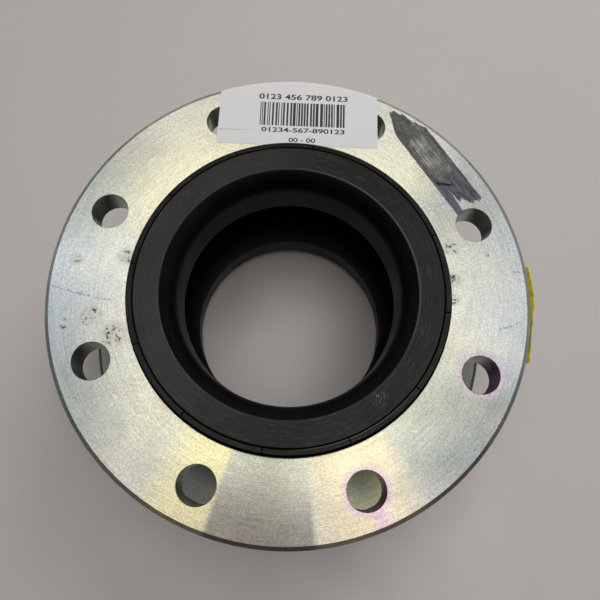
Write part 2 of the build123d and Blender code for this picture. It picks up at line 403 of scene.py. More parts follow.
# Corroded patches on the upper flange: centre and radius in mm, then scratches: start, end and sag in mm
STAINS = (
    (-114.5, -20.0, 7.0), (-100.5, -30.5, 7.5), (-96.8, 17.5, 5.0), (-126.5, 14.5, 3.0), (-129.0, -25.5, 3.0),
    (97.0, 10.0, 4.0), (96.5, -1.5, 3.0), (96.5, 31.0, 4.0), (118.0, 27.4, 1.6),
)
SCRATCHES = (
    ((-140.0, -2.0), (-102.0, -10.0), 1.0),
    ((122.5, -19.0), (137.5, -13.3), 0.6),
    ((133.0, 16.5), (140.0, 16.8), 0.1),
    ((133.5, -23.5), (138.0, -27.0), 0.1),
)
STAIN_FILM = (0.54, 0.53, 0.50)
SCRATCH_GREY = (0.22, 0.23, 0.28)
PIT_BROWN = (0.07, 0.065, 0.045)
LILAC = (0.66, 0.46, 0.64)
PINK = (0.70, 0.55, 0.55)
HAIR_GREY = (0.22, 0.23, 0.22)

# Tints that multiply the plating: near the collar, at the rim, a painted dark reflection over the front, and
# in cool patches
INNER_TINT = (1.08, 1.07, 0.96)
OUTER_TINT = (0.92, 0.95, 0.97)
FRONT_PAINTED_REFLECTION = (0.90, 0.87, 0.84)
COOL_TINT = (0.95, 0.98, 1.03)

# Sectors, by angle and half width: the front with its painted dark reflection, the lilac film round the holes
# and the lilac streak at the rim
FRONT_REFLECTION_SECTOR = (-105.0, 75.0)
LILAC_SECTOR = (-52.0, 62.0)
LILAC_STREAK = (-66.5, 2.2)

# The lower flange: painted shadow of the upper flange over it, and a sector of painted light by angle, half
# width and softness
LOWER_PAINTED_SHADOW = (0.32, 0.32, 0.29)
LOWER_PAINTED_LIGHT = (0.62, 0.62, 0.44)
LOWER_LIT_SECTOR = (-66.0, 22.0, 0.6)


def hole_distance(graph, first):
    """Distance from the centre of the nearest bolt hole, the first hole's angle being given in degrees."""
    radius, cosine, sine = radius_of(graph)
    turn = graph.less(graph.math("ARCTAN2", sine, cosine), math.radians(first))
    pitch = 2 * math.pi / HOLE_COUNT
    share = graph.math("DIVIDE", turn, pitch)
    offset = graph.times(graph.less(share, graph.math("ROUND", share)), pitch)
    along = graph.times(radius, graph.math("SINE", offset))
    out = graph.less(graph.times(radius, graph.math("COSINE", offset)), BOLT_CIRCLE_R)
    return graph.length(along, out)


def top_only(graph):
    """One on the upper flange's top face and chamfer, nothing down its rim."""
    start, end = FACE_FADE
    return graph.step(graph.position()[3], FACE_Z - start, FACE_Z - end)


def add_tints_and_painted_reflections(graph, colour, radius, cosine, sine):
    """Tints in sectors, partly passivation tint and partly painted reflection, yellower and brighter near the
    collar, bluer at the rim; a painted dark reflection over one sector and over the front; sectors darker
    towards the rim.
    """
    depth = graph.plus(0.4, graph.times(top_only(graph), 0.6))
    # Sector tints: partly passivation tint, partly painted reflection
    for degrees, half_width, strength, tint in TINTS_AND_PAINTED_REFLECTIONS:
        share = graph.times(graph.times(lobe(graph, cosine, sine, degrees, half_width), strength), depth)
        colour = graph.mix(share, colour, tint)
    outward = graph.step(radius, FACE_INNER_R, FACE_OUTER_R)
    # Painted dark reflection over one sector of the top face
    degrees, half_width, soft, inside, at_rim = PAINTED_DARK_REFLECTION
    share = graph.times(lobe(graph, cosine, sine, degrees, half_width, soft), top_only(graph))
    colour = graph.mix(share, colour, graph.mix(outward, inside, at_rim))
    colour = graph.mix(1.0, colour, graph.mix(outward, INNER_TINT, OUTER_TINT), "MULTIPLY")
    # Painted dark reflection over the front, stronger towards the rim
    front = graph.times(lobe(graph, cosine, sine, *FRONT_REFLECTION_SECTOR), outward)
    colour = graph.mix(front, colour, FRONT_PAINTED_REFLECTION, "MULTIPLY")
    darker = 0.0
    for degrees, half_width in RIM_SHADES:
        darker = graph.math("MAXIMUM", darker, lobe(graph, cosine, sine, degrees, half_width))
    return graph.mix(graph.times(darker, outward), colour, RIM_SHADE, "MULTIPLY")


def add_halos(graph, colour, first_hole):
    """Lilac film round the bolt holes on the lower right, and a lilac streak at the rim."""
    radius, cosine, sine = radius_of(graph)
    halo = graph.step(hole_distance(graph, first_hole), HOLE_R, HOLE_R + HALO_WIDTH, 1.0, 0.0)
    low_right = lobe(graph, cosine, sine, *LILAC_SECTOR)
    colour = graph.mix(graph.times(graph.times(halo, low_right), 0.60), colour, LILAC)
    streak = graph.times(lobe(graph, cosine, sine, *LILAC_STREAK), graph.step(radius, 126 * MM, 131 * MM))
    streak = graph.times(streak, top_only(graph))
    return graph.mix(graph.times(streak, 0.55), colour, LILAC)


def add_stains(graph, colour, pits, spot):
    """Corroded patches: brown specks in a grey film; then scratches, broken into dashes."""
    _, x, y, _ = graph.position()
    uneven = graph.times(graph.less(graph.noise(spot, 110.0, 3.0, 0.6), 0.5), 9.0 * MM)
    dots = graph.step(graph.noise(spot, 430.0, 5.0, 0.8), 0.53, 0.60)
    for left, up, size in STAINS:
        away_x = graph.less(x, left * MM)
        away_y = graph.less(y, up * MM)
        away = graph.plus(graph.length(away_x, away_y), uneven)
        film = graph.step(away, 0.7 * size * MM, 1.6 * size * MM, 0.55, 0.0)
        colour = graph.mix(film, colour, STAIN_FILM)
        core = graph.step(away, 0.6 * size * MM, 1.1 * size * MM, 1.0, 0.0)
        pits = graph.math("MAXIMUM", pits, graph.times(core, dots))
    dashes = graph.step(graph.noise(spot, 900.0, 1.0), 0.42, 0.55)
    for (x0, y0), (x1, y1), sag in SCRATCHES:
        share = graph.math("DIVIDE", graph.less(x, x0 * MM), (x1 - x0) * MM)
        line = graph.plus(y0 * MM, graph.times(share, (y1 - y0) * MM))
        dip = graph.times(graph.times(share, graph.less(1.0, share)), 4 * sag * MM)
        off = graph.math("ABSOLUTE", graph.plus(graph.less(y, line), dip))
        mark = graph.step(off, 0.3 * MM, 0.8 * MM, 1.0, 0.0)
        mark = graph.times(mark, graph.window(share, 0.02, 0.98, 0.02))
        colour = graph.mix(graph.times(graph.times(mark, dashes), 0.75), colour, SCRATCH_GREY)
    return colour, pits


def zinc(name, marked, seed, first_hole):
    """Zinc plated, face-turned steel: tinted passivation film, pits, scratches, handling marks; painted
    reflections on the upper flange, painted shadow on the lower one.
    """
    graph = Graph(name)
    place, x, y, z = graph.position()
    radius, cosine, sine = radius_of(graph)
    spot = graph.shifted(place, (seed, 0.4 * seed, 0.0))
    outward = graph.plus(graph.times(radius, 9.0), seed)
    fan = graph.xyz(graph.times(cosine, 3.2), graph.times(sine, 3.2), outward)
    film = graph.noise(fan, 1.0, 3.0, 0.55, 0.4)
    colour = graph.ramp(
        film,
        (0.30, (0.64, 0.67, 0.69)),
        (0.46, (0.67, 0.68, 0.66)),
        (0.58, (0.70, 0.69, 0.62)),
        (0.72, (0.72, 0.69, 0.59)),
    )
    if marked:
        colour = add_tints_and_painted_reflections(graph, colour, radius, cosine, sine)
        colour = add_halos(graph, colour, first_hole)
    else:
        # The lower flange: painted shadow of the upper flange over it, with painted light in one sector
        tint = graph.mix(lobe(graph, cosine, sine, *LOWER_LIT_SECTOR), LOWER_PAINTED_SHADOW, LOWER_PAINTED_LIGHT)
        colour = graph.mix(1.0, colour, tint, "MULTIPLY")
    blush = graph.noise(graph.shifted(spot, (0.31, 0.17, 0.05)), 16.0, 3.0)
    colour = graph.mix(graph.step(blush, 0.54, 0.70, 0.0, 0.25), colour, PINK)
    cool = graph.noise(graph.shifted(spot, (0.11, 0.57, 0.25)), 42.0, 4.0, 0.6)
    colour = graph.mix(graph.step(cool, 0.38, 0.66, 0.0, 0.75), colour, COOL_TINT, "MULTIPLY")
    cloud = graph.noise(spot, 60.0, 4.0, 0.65)
    colour = graph.shade(colour, cloud, 0.40, 0.72, 1.02, 0.95)
    grain = graph.noise(spot, 1600.0, 3.0, 0.75)
    colour = graph.shade(colour, grain, 0.36, 0.62, 1.10, 0.74)
    coarse = graph.noise(spot, 620.0, 3.0, 0.7)
    colour = graph.shade(colour, coarse, 0.38, 0.66, 1.05, 0.90)
    turned = graph.xyz(graph.times(radius, 1500.0), graph.times(cosine, 5.0), graph.times(sine, 5.0))
    rings = graph.noise(turned, 1.0, 3.0, 0.7)
    colour = graph.shade(colour, rings, 0.32, 0.68, 0.88, 1.09)
    pits = graph.times(graph.step(graph.cells(spot, 150.0), 0.035, 0.060, 1.0, 0.0), 0.7)
    pits = graph.times(pits, graph.step(graph.noise(spot, 51.0, 1.0), 0.52, 0.56))
    if marked:
        colour, pits = add_stains(graph, colour, pits, spot)
    colour = graph.mix(graph.times(pits, 0.88), colour, PIT_BROWN)
    long_way = graph.xyz(graph.times(x, 90.0), graph.times(y, 1300.0), graph.times(z, 200.0))
    hair = graph.noise(long_way, 1.0, 2.0, 0.6)
    hairs = graph.times(graph.step(hair, 0.68, 0.74), graph.step(graph.noise(spot, 30.0), 0.5, 0.62))
    colour = graph.mix(graph.times(hairs, 0.30), colour, HAIR_GREY)
    rough = graph.step(graph.noise(spot, 55.0, 4.0, 0.6), 0.3, 0.7, 0.35, 0.39)
    rough = graph.plus(rough, graph.times(pits, 0.25))
    metallic = 0.96
    anisotropy = 0.88
    shine = 0.5
    if marked:
        colour, cover = add_ink(graph, colour)
        rough = graph.plus(rough, graph.times(cover, 0.12))
        metallic = graph.less(metallic, graph.times(cover, 0.80))
        anisotropy = graph.less(anisotropy, graph.times(cover, 0.5))
        shine = graph.less(shine, graph.times(cover, 0.3))
    height = graph.plus(graph.times(rings, 0.6), graph.times(grain, 0.4))
    height = graph.less(height, graph.times(pits, 1.2))
    normal = graph.bump(height, 0.05 * MM, 0.35)
    tangent = graph.add(
        "ShaderNodeVectorTransform",
        {0: graph.xyz(cosine, sine, 2.0)},
        vector_type="VECTOR",
        convert_from="OBJECT",
        convert_to="WORLD",
    ).outputs[0]
    return graph.finish(
        colour, rough, normal, metallic, Anisotropic=anisotropy, Tangent=tangent, Specular_IOR_Level=shine
    )


def rubber(name, tone, rough_low, rough_high, dust, lines=True, scuffed_and_shaded=False):
    """Moulded black rubber: fine skin texture, flow lines round the axis and a little dust; on a collar face,
    painted light paler towards the left and painted shade on the outer band.
    """
    graph = Graph(name)
    place, _, _, z = graph.position()
    radius, cosine, sine = radius_of(graph)
    off_middle = graph.math("ABSOLUTE", graph.less(z, MIDDLE))
    cloud = graph.noise(place, 34.0, 4.0, 0.6, 0.4)
    sweep = graph.xyz(graph.times(radius, 950.0), graph.times(cosine, 9.0), graph.times(sine, 9.0))
    if not lines:
        sweep = graph.xyz(graph.times(z, 700.0), graph.times(cosine, 9.0), graph.times(sine, 9.0))
    streak = graph.noise(sweep, 1.0, 4.0, 0.68)
    skin = graph.noise(place, 1500.0, 2.0, 0.5)
    face = graph.times(
        graph.window(radius, COLLAR_INNER_R, COLLAR_OUTER_R, 0.3 * MM),
        graph.step(off_middle, MIDDLE - 1.6 * MM, MIDDLE - 0.9 * MM),
    )
    # Painted shade: the outer band of the collar face is darker
    on_band = graph.step(radius, 90.6 * MM, 91.2 * MM)
    # Collar face dust, paler towards the left and darker towards the right: painted light and shade
    face_dust_and_light = graph.mix(lobe(graph, cosine, sine, 165.0, 110.0), RUBBER_FACE_SHADED_SIDE, RUBBER_FACE)
    face_dust_and_light = graph.mix(on_band, face_dust_and_light, RUBBER_BAND_PAINTED_SHADE)
    tone = graph.mix(face, tone, face_dust_and_light)
    colour = graph.mix(graph.step(cloud, 0.35, 0.75, 0.0, dust), tone, RUBBER_BLOOM)
    streaky = graph.times(graph.step(streak, 0.50, 0.76, 0.0, 1.4 * dust), face)
    colour = graph.mix(streaky, colour, RUBBER_STREAK)
    specks = graph.step(graph.noise(place, 620.0, 1.0), 0.70, 0.76)
    colour = graph.mix(graph.times(specks, dust * 0.6), colour, RUBBER_DUST)
    rough = graph.step(cloud, 0.3, 0.7, rough_low, rough_high)
    open_face = 1.0
    if scuffed_and_shaded:
        colour, scuff, sunken = add_wear_highlight_and_shade(graph, colour)
        rough = graph.plus(rough, graph.times(scuff, 0.15))
        open_face = graph.less(1.0, sunken)
    height = graph.plus(graph.times(streak, 0.55), graph.times(skin, 0.45))
    normal = graph.bump(height, 0.06 * MM, 0.45)
    lip = MIDDLE - LIP[1]
    shine = graph.step(off_middle, lip - 0.7 * MM, lip + 0.6 * MM, HOLLOW_SHINE, THROAT_SHINE)
    shine = graph.plus(shine, graph.times(face, RUBBER_SHINE - THROAT_SHINE))
    return graph.finish(colour, rough, normal, Specular_IOR_Level=graph.times(shine, open_face))


# Pale rubbed patch on the upper sealing face: centre and half widths in mm
RUBBED_PATCH = ((52.5, -62.0), (6.0, 6.5))
RUBBED_GREY = (0.20, 0.19, 0.16)
EDGE_GREY = (0.16, 0.15, 0.14)
# Painted highlight along the groove at the front
GROOVE_PAINTED_HIGHLIGHT = (0.16, 0.15, 0.12)
# Painted shade in the groove and on the outer band
GROOVE_PAINTED_SHADE = (0.001, 0.001, 0.001)


def add_wear_highlight_and_shade(graph, colour):
    """A pale rubbed patch on the sealing face and the worn edge between the face and the flare; a painted
    highlight along the groove at the front, and painted shade in the groove and on the outer band.
    """
    _, x, y, z = graph.position()
    radius, cosine, sine = radius_of(graph)
    (patch_x, patch_y), (wide, tall) = RUBBED_PATCH
    away_x = graph.math("DIVIDE", graph.less(x, patch_x * MM), wide * MM)
    away_y = graph.math("DIVIDE", graph.less(y, patch_y * MM), tall * MM)
    away = graph.length(away_x, away_y)
    tooth = graph.noise(graph.xyz(graph.times(x, 1200.0), graph.times(y, 420.0), 0.0), 1.0, 4.0, 0.75)
    mask = graph.times(graph.step(away, 0.3, 1.1, 1.0, 0.0), graph.step(tooth, 0.50, 0.66))
    colour = graph.mix(graph.times(mask, 0.8), colour, RUBBED_GREY)
    edge = graph.window(radius, *WORN_EDGE_R, 0.4 * MM)
    edge = graph.times(edge, graph.step(z, COLLAR_TOP - 1.0 * MM, COLLAR_TOP - 0.4 * MM))
    side = graph.plus(graph.times(lobe(graph, cosine, sine, 30.0, 70.0), 0.7), 0.15)
    colour = graph.mix(graph.times(graph.times(edge, side), 0.5), colour, EDGE_GREY)
    # Painted highlight: a pale line at the groove's outer edge, at the front
    pale = graph.window(radius, 90.95 * MM, 91.3 * MM, 0.12 * MM)
    pale = graph.times(pale, lobe(graph, cosine, sine, -60.0, 32.0))
    colour = graph.mix(graph.times(pale, 0.8), colour, GROOVE_PAINTED_HIGHLIGHT)
    # Painted shade: black in the groove and on the outer band, which lies below the face
    groove = graph.window(radius, *GROOVE_R, 0.15 * MM)
    sunken = graph.step(z, COLLAR_TOP - 0.7 * MM, COLLAR_TOP - 0.3 * MM, 1.0, 0.0)
    sunken = graph.times(sunken, graph.step(radius, GROOVE_R[0], GROOVE_R[0] + 0.2 * MM))
    dark = graph.math("MAXIMUM", graph.times(groove, graph.less(1.0, pale)), sunken)
    return graph.mix(graph.times(dark, 0.9), colour, GROOVE_PAINTED_SHADE), mask, dark


def cord_fabric():
    """Rubberised nylon cord, its cords laid slantwise round the axis."""
    graph = Graph("cord_fabric")
    z = graph.position()[3]
    _, cosine, sine = radius_of(graph)
    turn = graph.math("ARCTAN2", sine, cosine)
    lay = graph.plus(graph.times(turn, 90.0), graph.times(z, 1200.0))
    ridge = graph.math("SINE", lay)
    colour = graph.ramp(graph.step(ridge, -1.0, 1.0), (0.0, (0.10, 0.09, 0.08)), (0.7, (0.52, 0.46, 0.36)))
    return graph.finish(colour, 0.75, graph.bump(ridge, 0.2 * MM, 0.6))


def wire_metal():
    """Drawn bead wire with a thin bronze coat."""
    graph = Graph("bead_wire_bronze")
    place, _, _, z = graph.position()
    radius, cosine, _ = radius_of(graph)
    die_marks = graph.xyz(graph.times(radius, 5000.0), graph.times(z, 5000.0), graph.times(cosine, 6.0))
    drawn = graph.noise(die_marks, 1.0, 3.0)
    colour = graph.mix(graph.noise(place, 60.0), (0.62, 0.47, 0.28), (0.72, 0.60, 0.42))
    rough = graph.step(drawn, 0.3, 0.7, 0.25, 0.42)
    return graph.finish(colour, rough, graph.bump(drawn, 0.02 * MM, 0.5), 1.0)


def paper():
    """White label stock with a faint fibre and a few soft creases."""
    graph = Graph("label_paper")
    place = graph.position()[0]
    fibre = graph.noise(place, 900.0, 4.0, 0.7)
    cloud = graph.noise(place, 25.0, 3.0)
    colour = graph.mix(graph.step(fibre, 0.3, 0.8, 0.0, 0.6), (0.80, 0.80, 0.81), (0.74, 0.74, 0.75))
    colour = graph.mix(graph.step(cloud, 0.5, 0.8, 0.0, 0.35), colour, (0.70, 0.70, 0.70))
    waves = graph.plus(graph.times(cloud, 0.8), graph.times(fibre, 0.05))
    return graph.finish(colour, 0.62, graph.bump(waves, 0.6 * MM, 0.35))


def print_ink():
    """Thermal print: dark grey, a little patchy."""
    graph = Graph("label_print")
    place = graph.position()[0]
    patchy = graph.noise(place, 700.0, 3.0, 0.7)
    colour = graph.mix(graph.step(patchy, 0.45, 0.75, 0.0, 0.6), (0.025, 0.025, 0.03), (0.13, 0.13, 0.14))
    return graph.finish(colour, 0.5, graph.bump(patchy, 0.01 * MM, 0.3))


def yellow():
    """Old yellow tape, grubby in patches."""
    graph = Graph("yellow_tape")
    place = graph.position()[0]
    dirt = graph.noise(place, 160.0, 4.0, 0.7)
    fine = graph.noise(place, 900.0, 3.0, 0.6)
    colour = graph.mix(graph.step(dirt, 0.35, 0.7, 0.0, 0.8), (0.95, 0.78, 0.08), (0.46, 0.40, 0.03))
    colour = graph.mix(graph.step(fine, 0.50, 0.70, 0.0, 0.5), colour, (1.0, 0.90, 0.28))
    height = graph.plus(dirt, graph.times(fine, 0.3))
    return graph.finish(colour, 0.55, graph.bump(height, 0.3 * MM, 0.7))


def floor_material():
    """Pale, plain table top with a very faint mottling."""
    graph = Graph("floor_pale")
    place = graph.position()[0]
    cloud = graph.noise(place, 5.0, 3.0)
    colour = graph.mix(cloud, (0.545, 0.510, 0.496), (0.575, 0.540, 0.526))
    rough = graph.step(graph.noise(place, 30.0, 3.0), 0.3, 0.7, 0.42, 0.55)
    return graph.finish(colour, rough)


# Mesh helpers -----------------------------------------------------------------------


def make_object(name, points, faces, material, smooth_angle=35.0):
    mesh = bpy.data.meshes.new(name)
    mesh.from_pydata(points, [], faces)
    mesh.validate()
    mesh.materials.append(material)
    smooth(mesh, smooth_angle)
    made = bpy.data.objects.new(name, mesh)
    bpy.context.scene.collection.objects.link(made)
    return made


def smooth(mesh, angle):
    """Smooth shading with edges sharper than the angle kept hard."""
    mesh.polygons.foreach_set("use_smooth", [True] * len(mesh.polygons))
    mesh.set_sharp_from_angle(angle=math.radians(angle))
    mesh.update()


def revolved(name, section, material, segments=BAND_SEGMENTS):
    """Closed ring from a section, a list of (radius, z) that goes round its area once."""
    points, faces = [], []
    count = len(section)
    for turn in range(segments):
        angle = 2 * math.pi * turn / segments
        points += [(r * math.cos(angle), r * math.sin(angle), z) for r, z in section]
    for turn in range(segments):
        here, there = turn * count, (turn + 1) % segments * count
        for i in range(count):
            j = (i + 1) % count
            faces.append((here + i, there + i, there + j, here + j))
    return make_object(name, points, faces, material)


def closed_sheet_faces(columns, rows, flipped=False):
    """Faces of two grids of points, one over the other, joined round their rim; flipped turns them over."""
    wide = columns + 1
    layer = wide * (rows + 1)
    faces = []
    for row in range(rows):
        for column in range(columns):
            a = row * wide + column
            faces.append((a, a + wide, a + wide + 1, a + 1))
            faces.append((layer + a, layer + a + 1, layer + a + wide + 1, layer + a + wide))
    rim = list(range(wide))
    rim += [r * wide + columns for r in range(1, rows + 1)]
    rim += [rows * wide + c for c in range(columns - 1, -1, -1)]
    rim += [r * wide for r in range(rows - 1, 0, -1)]
    for a, b in zip(rim, rim[1:] + rim[:1]):
        faces.append((a, b, layer + b, layer + a))
    if flipped:
        faces = [(face[0], *face[:0:-1]) for face in faces]
    return faces


# Bellows ----------------------------------------------------------------------------


def outer_centre():
    """Radius of the centre of the crown arc, which is tangent to the root arcs."""
    rise = MIDDLE - ROOT_CENTRE_Z
    reach = CROWN_R + ROOT_RADIUS
    root = NECK_R + ROOT_RADIUS
    return (reach**2 - root**2 - rise**2) / (2 * (reach - root))


def arc_points(centre, radius, start, end):
    """Points on an arc between two angles, in radians, spaced by about the profile step."""
    count = max(3, int(abs(end - start) * radius / PROFILE_STEP))
    angles = [start + (end - start) * i / count for i in range(count + 1)]
    return [(centre[0] + radius * math.cos(a), centre[1] + radius * math.sin(a)) for a in angles]


def line_points(start, end):
    count = max(1, int(math.dist(start, end) / (2 * PROFILE_STEP)))
    return [tuple(a + (b - a) * i / count for a, b in zip(start, end)) for i in range(count + 1)]


def mirrored(lower):
    """The whole profile from its lower half, which ends on the middle plane."""
    return lower + [(r, 2 * MIDDLE - z) for r, z in lower[-2::-1]]


def wall_profile(offset, end):
    """Surface that lies an offset inside the outer surface, from end to end."""
    root = (NECK_R + ROOT_RADIUS, ROOT_CENTRE_Z)
    crown = (outer_centre(), MIDDLE)
    turn = math.atan2(crown[1] - root[1], crown[0] - root[0])
    neck = NECK_R - offset
    lower = line_points((neck, end), (neck, ROOT_CENTRE_Z))
    lower += arc_points(root, ROOT_RADIUS + offset, math.pi, turn)[1:]
    lower += arc_points(crown, CROWN_R - offset - crown[0], turn - math.pi, 0.0)[1:]
    return mirrored(lower)


def cavity_profile():
    """Flow side: tapered throat, rounded lip and the hollow of the arch."""
    rise = MIDDLE - LIP[1]
    centre_r = (CAVITY_CROWN_R**2 - LIP[0] ** 2 - rise**2) / (2 * (CAVITY_CROWN_R - LIP[0]))
    radius = CAVITY_CROWN_R - centre_r
    start = math.atan2(LIP[1] - MIDDLE, LIP[0] - centre_r)
    hollow = arc_points((centre_r, MIDDLE), radius, start + LIP_FILLET / radius, 0.0)
    back = (Vector(THROAT) - Vector(LIP)).normalized() * LIP_FILLET
    lip_start = (LIP[0] + back.x, LIP[1] + back.y)
    lip = [lip_start]
    for share in (0.25, 0.5, 0.75):
        first = Vector(lip_start).lerp(Vector(LIP), share)
        second = Vector(LIP).lerp(Vector(hollow[0]), share)
        lip.append(tuple(first.lerp(second, share)))
    return mirrored(line_points(THROAT, lip_start)[:-1] + lip + hollow)


def between(profile, low, high):
    """The stretch of a profile from one height to another, cut exactly there."""
    kept = []
    for (r0, z0), (r1, z1) in zip(profile, profile[1:]):
        for cut in (low, high):
            if z0 < cut < z1:
                kept.append((r0 + (r1 - r0) * (cut - z0) / (z1 - z0), cut))
    kept += [point for point in profile if low <= point[1] <= high]
    return sorted(set(kept), key=lambda point: point[1])


def chain_joints():
    """The joints of the flexing chain in order from the lower end, without the flange swivels."""
    chain, body = [], "lower_end"
    while body != "upper_end":
        joint = next(j for j in frame["joints"] if j["parent"] == body and not j.get("continuous"))
        chain.append(joint)
        body = joint["child"]
    return chain


# Height of each joint's stretch of the wall, as shares of the free height, from the lower end
BAND_SHARES = (0.18, 0.165, 0.31, 0.165, 0.18)


def build_bellows():
    """Bands of cover, plies and tube, one stretch of the wall for each joint of the chain, in place of the
    CAD layers, which are hidden.
    """
    low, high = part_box("lower_flange")[1].z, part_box("upper_flange")[0].z
    cuts = [low]
    for share in BAND_SHARES:
        cuts.append(cuts[-1] + share * (high - low))
    bonded = COVER_THICKNESS + PLIES_THICKNESS
    layers = (
        (
            "cover",
            wall_profile(0, COVER_END),
            wall_profile(COVER_THICKNESS, COVER_END),
            COVER_RUBBER,
            ("outer_cover",),
        ),
        (
            "ply",
            wall_profile(COVER_THICKNESS, PLY_END),
            wall_profile(bonded, PLY_END),
            CORD_FABRIC,
            ("cord_ply_1", "cord_ply_2", "cord_ply_3"),
        ),
        (
            "tube",
            wall_profile(bonded, THROAT[1]),
            cavity_profile(),
            TUBE_RUBBER,
            ("inner_tube",),
        ),
    )
    for index, joint in enumerate(chain_joints()):
        start = -math.inf if index == 0 else cuts[index]
        end = math.inf if index == len(BAND_SHARES) - 1 else cuts[index + 1]
        for layer, outside, inside, material, nodes in layers:
            section = between(outside, start, end) + between(inside, start, end)[::-1]
            band = revolved(f"bellows_{layer}_{index + 1}", section, material)
            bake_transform(band)
            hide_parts(*nodes)


# Label ------------------------------------------------------------------------------

LABEL_LEFT = -48.8 * MM
LABEL_RIGHT = 52.0 * MM
LABEL_BOTTOM = 95.4 * MM
LABEL_LENGTH = 50.8 * MM
LABEL_THICKNESS = 0.15 * MM
LABEL_CURL = 2.4 * MM
LABEL_LIFT = 0.05 * MM
LABEL_OFF_RIM = 0.35 * MM
LABEL_BEND = math.radians(82)
LABEL_GRID = (40, 90)
LABEL_SKEW = -1.1 * MM
LABEL_SMOOTH = 50.0
PRINT_LIFT = 0.02 * MM
# Painted shade of a crease across the label, drawn as a thin dark sliver
CREASE_SHADE_Y = 105.0 * MM

# Printed bars: left, right, bottom and top in mm. Printed lines: figures, height, left, right and base in mm
BARS = (-23.3, 32.1, 109.2, 126.0)
BAR_MODULES = 95
PRINTED_LINES = (
    ("0123 456 789 0123", 4.0, -24.5, 32.7, 128.2),
    ("01234-567-890123", 3.4, -22.0, 31.0, 104.4),
    ("00 - 00", 3.2, -4.5, 12.5, 97.6),
)


def label_point(x, travel, lift):
    """Point on the label at a distance up the sheet: flat on the flange, then bent over the rim."""
    edge = math.sqrt((RIM_R + LABEL_OFF_RIM) ** 2 - x * x)
    flat = edge - LABEL_CURL - LABEL_BOTTOM
    base = FACE_Z + LABEL_LIFT
    if travel <= flat:
        return Vector((x, LABEL_BOTTOM + travel, base + lift))
    turn = (travel - flat) / LABEL_CURL
    swing = min(turn, LABEL_BEND)
    radius = LABEL_CURL + lift
    y = edge - LABEL_CURL + radius * math.sin(swing)
    z = base - LABEL_CURL + radius * math.cos(swing)
    rest = max(0.0, turn - LABEL_BEND) * LABEL_CURL
    return Vector((x, y + rest * math.cos(LABEL_BEND), z - rest * math.sin(LABEL_BEND)))


def label_sheet():
    """The paper of the label, whose left edge is a little askew."""
    columns, rows = LABEL_GRID
    points = []
    for side in (0, 1):
        for row in range(rows + 1):
            travel = LABEL_LENGTH * row / rows
            for column in range(columns + 1):
                x = LABEL_LEFT + (LABEL_RIGHT - LABEL_LEFT) * column / columns
                if column == 0:
                    x += LABEL_SKEW * (1 - row / rows)
                points.append(label_point(x, travel, LABEL_THICKNESS * side))
    return make_object("paper_label", points, closed_sheet_faces(columns, rows), PAPER, LABEL_SMOOTH)


# How much the strokes of the figures are thickened, as a share of the letter height
STROKE_WEIGHT = 0.022


def text_mesh(text, height, left, right, base):
    """Points and faces of a line of figures, scaled to fit between left and right."""
    curve = bpy.data.curves.new("line", "FONT")
    curve.body = text
    curve.offset = STROKE_WEIGHT
    made = bpy.data.objects.new("line", curve)
    bpy.context.scene.collection.objects.link(made)
    mesh = bpy.data.meshes.new_from_object(made)
    xs = [v.co.x for v in mesh.vertices]
    ys = [v.co.y for v in mesh.vertices]
    wide = (right - left) / (max(xs) - min(xs))
    tall = height / (max(ys) - min(ys))
    points = [(left + (v.co.x - min(xs)) * wide, base + (v.co.y - min(ys)) * tall) for v in mesh.vertices]
    faces = [tuple(p.vertices) for p in mesh.polygons]
    bpy.data.objects.remove(made)
    return points, faces


def barcode_bars(left, right, low, high):
    """Made-up bars of three widths between two heights."""
    pick = random.Random(31)
    module = (right - left) / BAR_MODULES
    points, faces, x = [], [], left
    while x < right - module:
        width = module * pick.choice((1, 2, 2, 2, 3))
        stop = min(x + width, right)
        first = len(points)
        points += [(x, low), (stop, low), (stop, high), (x, high)]
        faces.append((first, first + 1, first + 2, first + 3))
        x = stop + module * pick.choice((1, 1, 2))
    return points, faces


def build_label():
    """The paper label with generic bars and figures printed on it."""
    sheet = label_sheet()
    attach(sheet, "upper_ring")
    parts = [barcode_bars(*(place * MM for place in BARS))]
    for figures, *places in PRINTED_LINES:
        parts.append(text_mesh(figures, *(place * MM for place in places)))
    # Painted shade in a crease of the label: a thin dark sliver in the print colour
    crease_shade = [(LABEL_LEFT, CREASE_SHADE_Y), (LABEL_LEFT, CREASE_SHADE_Y + 0.25 * MM), (-23 * MM, CREASE_SHADE_Y + 0.1 * MM)]
    parts.append((crease_shade, [(0, 2, 1)]))
    points, faces = [], []
    for spots, polygons in parts:
        first = len(points)
        points += [label_point(x, y - LABEL_BOTTOM, LABEL_THICKNESS + PRINT_LIFT) for x, y in spots]
        faces += [tuple(first + i for i in polygon) for polygon in polygons]
    ink = make_object("label_print", points, faces, PRINT, LABEL_SMOOTH)
    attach(ink, "upper_ring")


# Yellow tape ------------------------------------------------------------------------

# Angle round the rim, in degrees, and how far the torn upper edge flares out there, in mm
TAPE_FLARE = (
    (-15.2, 2.1), (-12.0, 1.6), (-9.4, 0.9), (-8.2, 1.0), (-6.8, 1.5), (-2.9, 1.7), (-2.1, 2.8), (0.5, 2.6),
    (4.0, 2.5), (6.0, 2.2), (8.3, 2.1),
)
# Depth of its edges under the flange's face, its gap from the rim in mm, and the share of it that flares
TAPE_TOP = 1.6 * MM
TAPE_BOTTOM = 15.5 * MM
TAPE_GAP = 0.25
TAPE_FLARE_SHARE = 0.35
TAPE_FLARE_POWER = 1.5
TAPE_THICKNESS = 0.3 * MM
TAPE_GRID = (70, 16)
TAPE_SMOOTH = 60.0


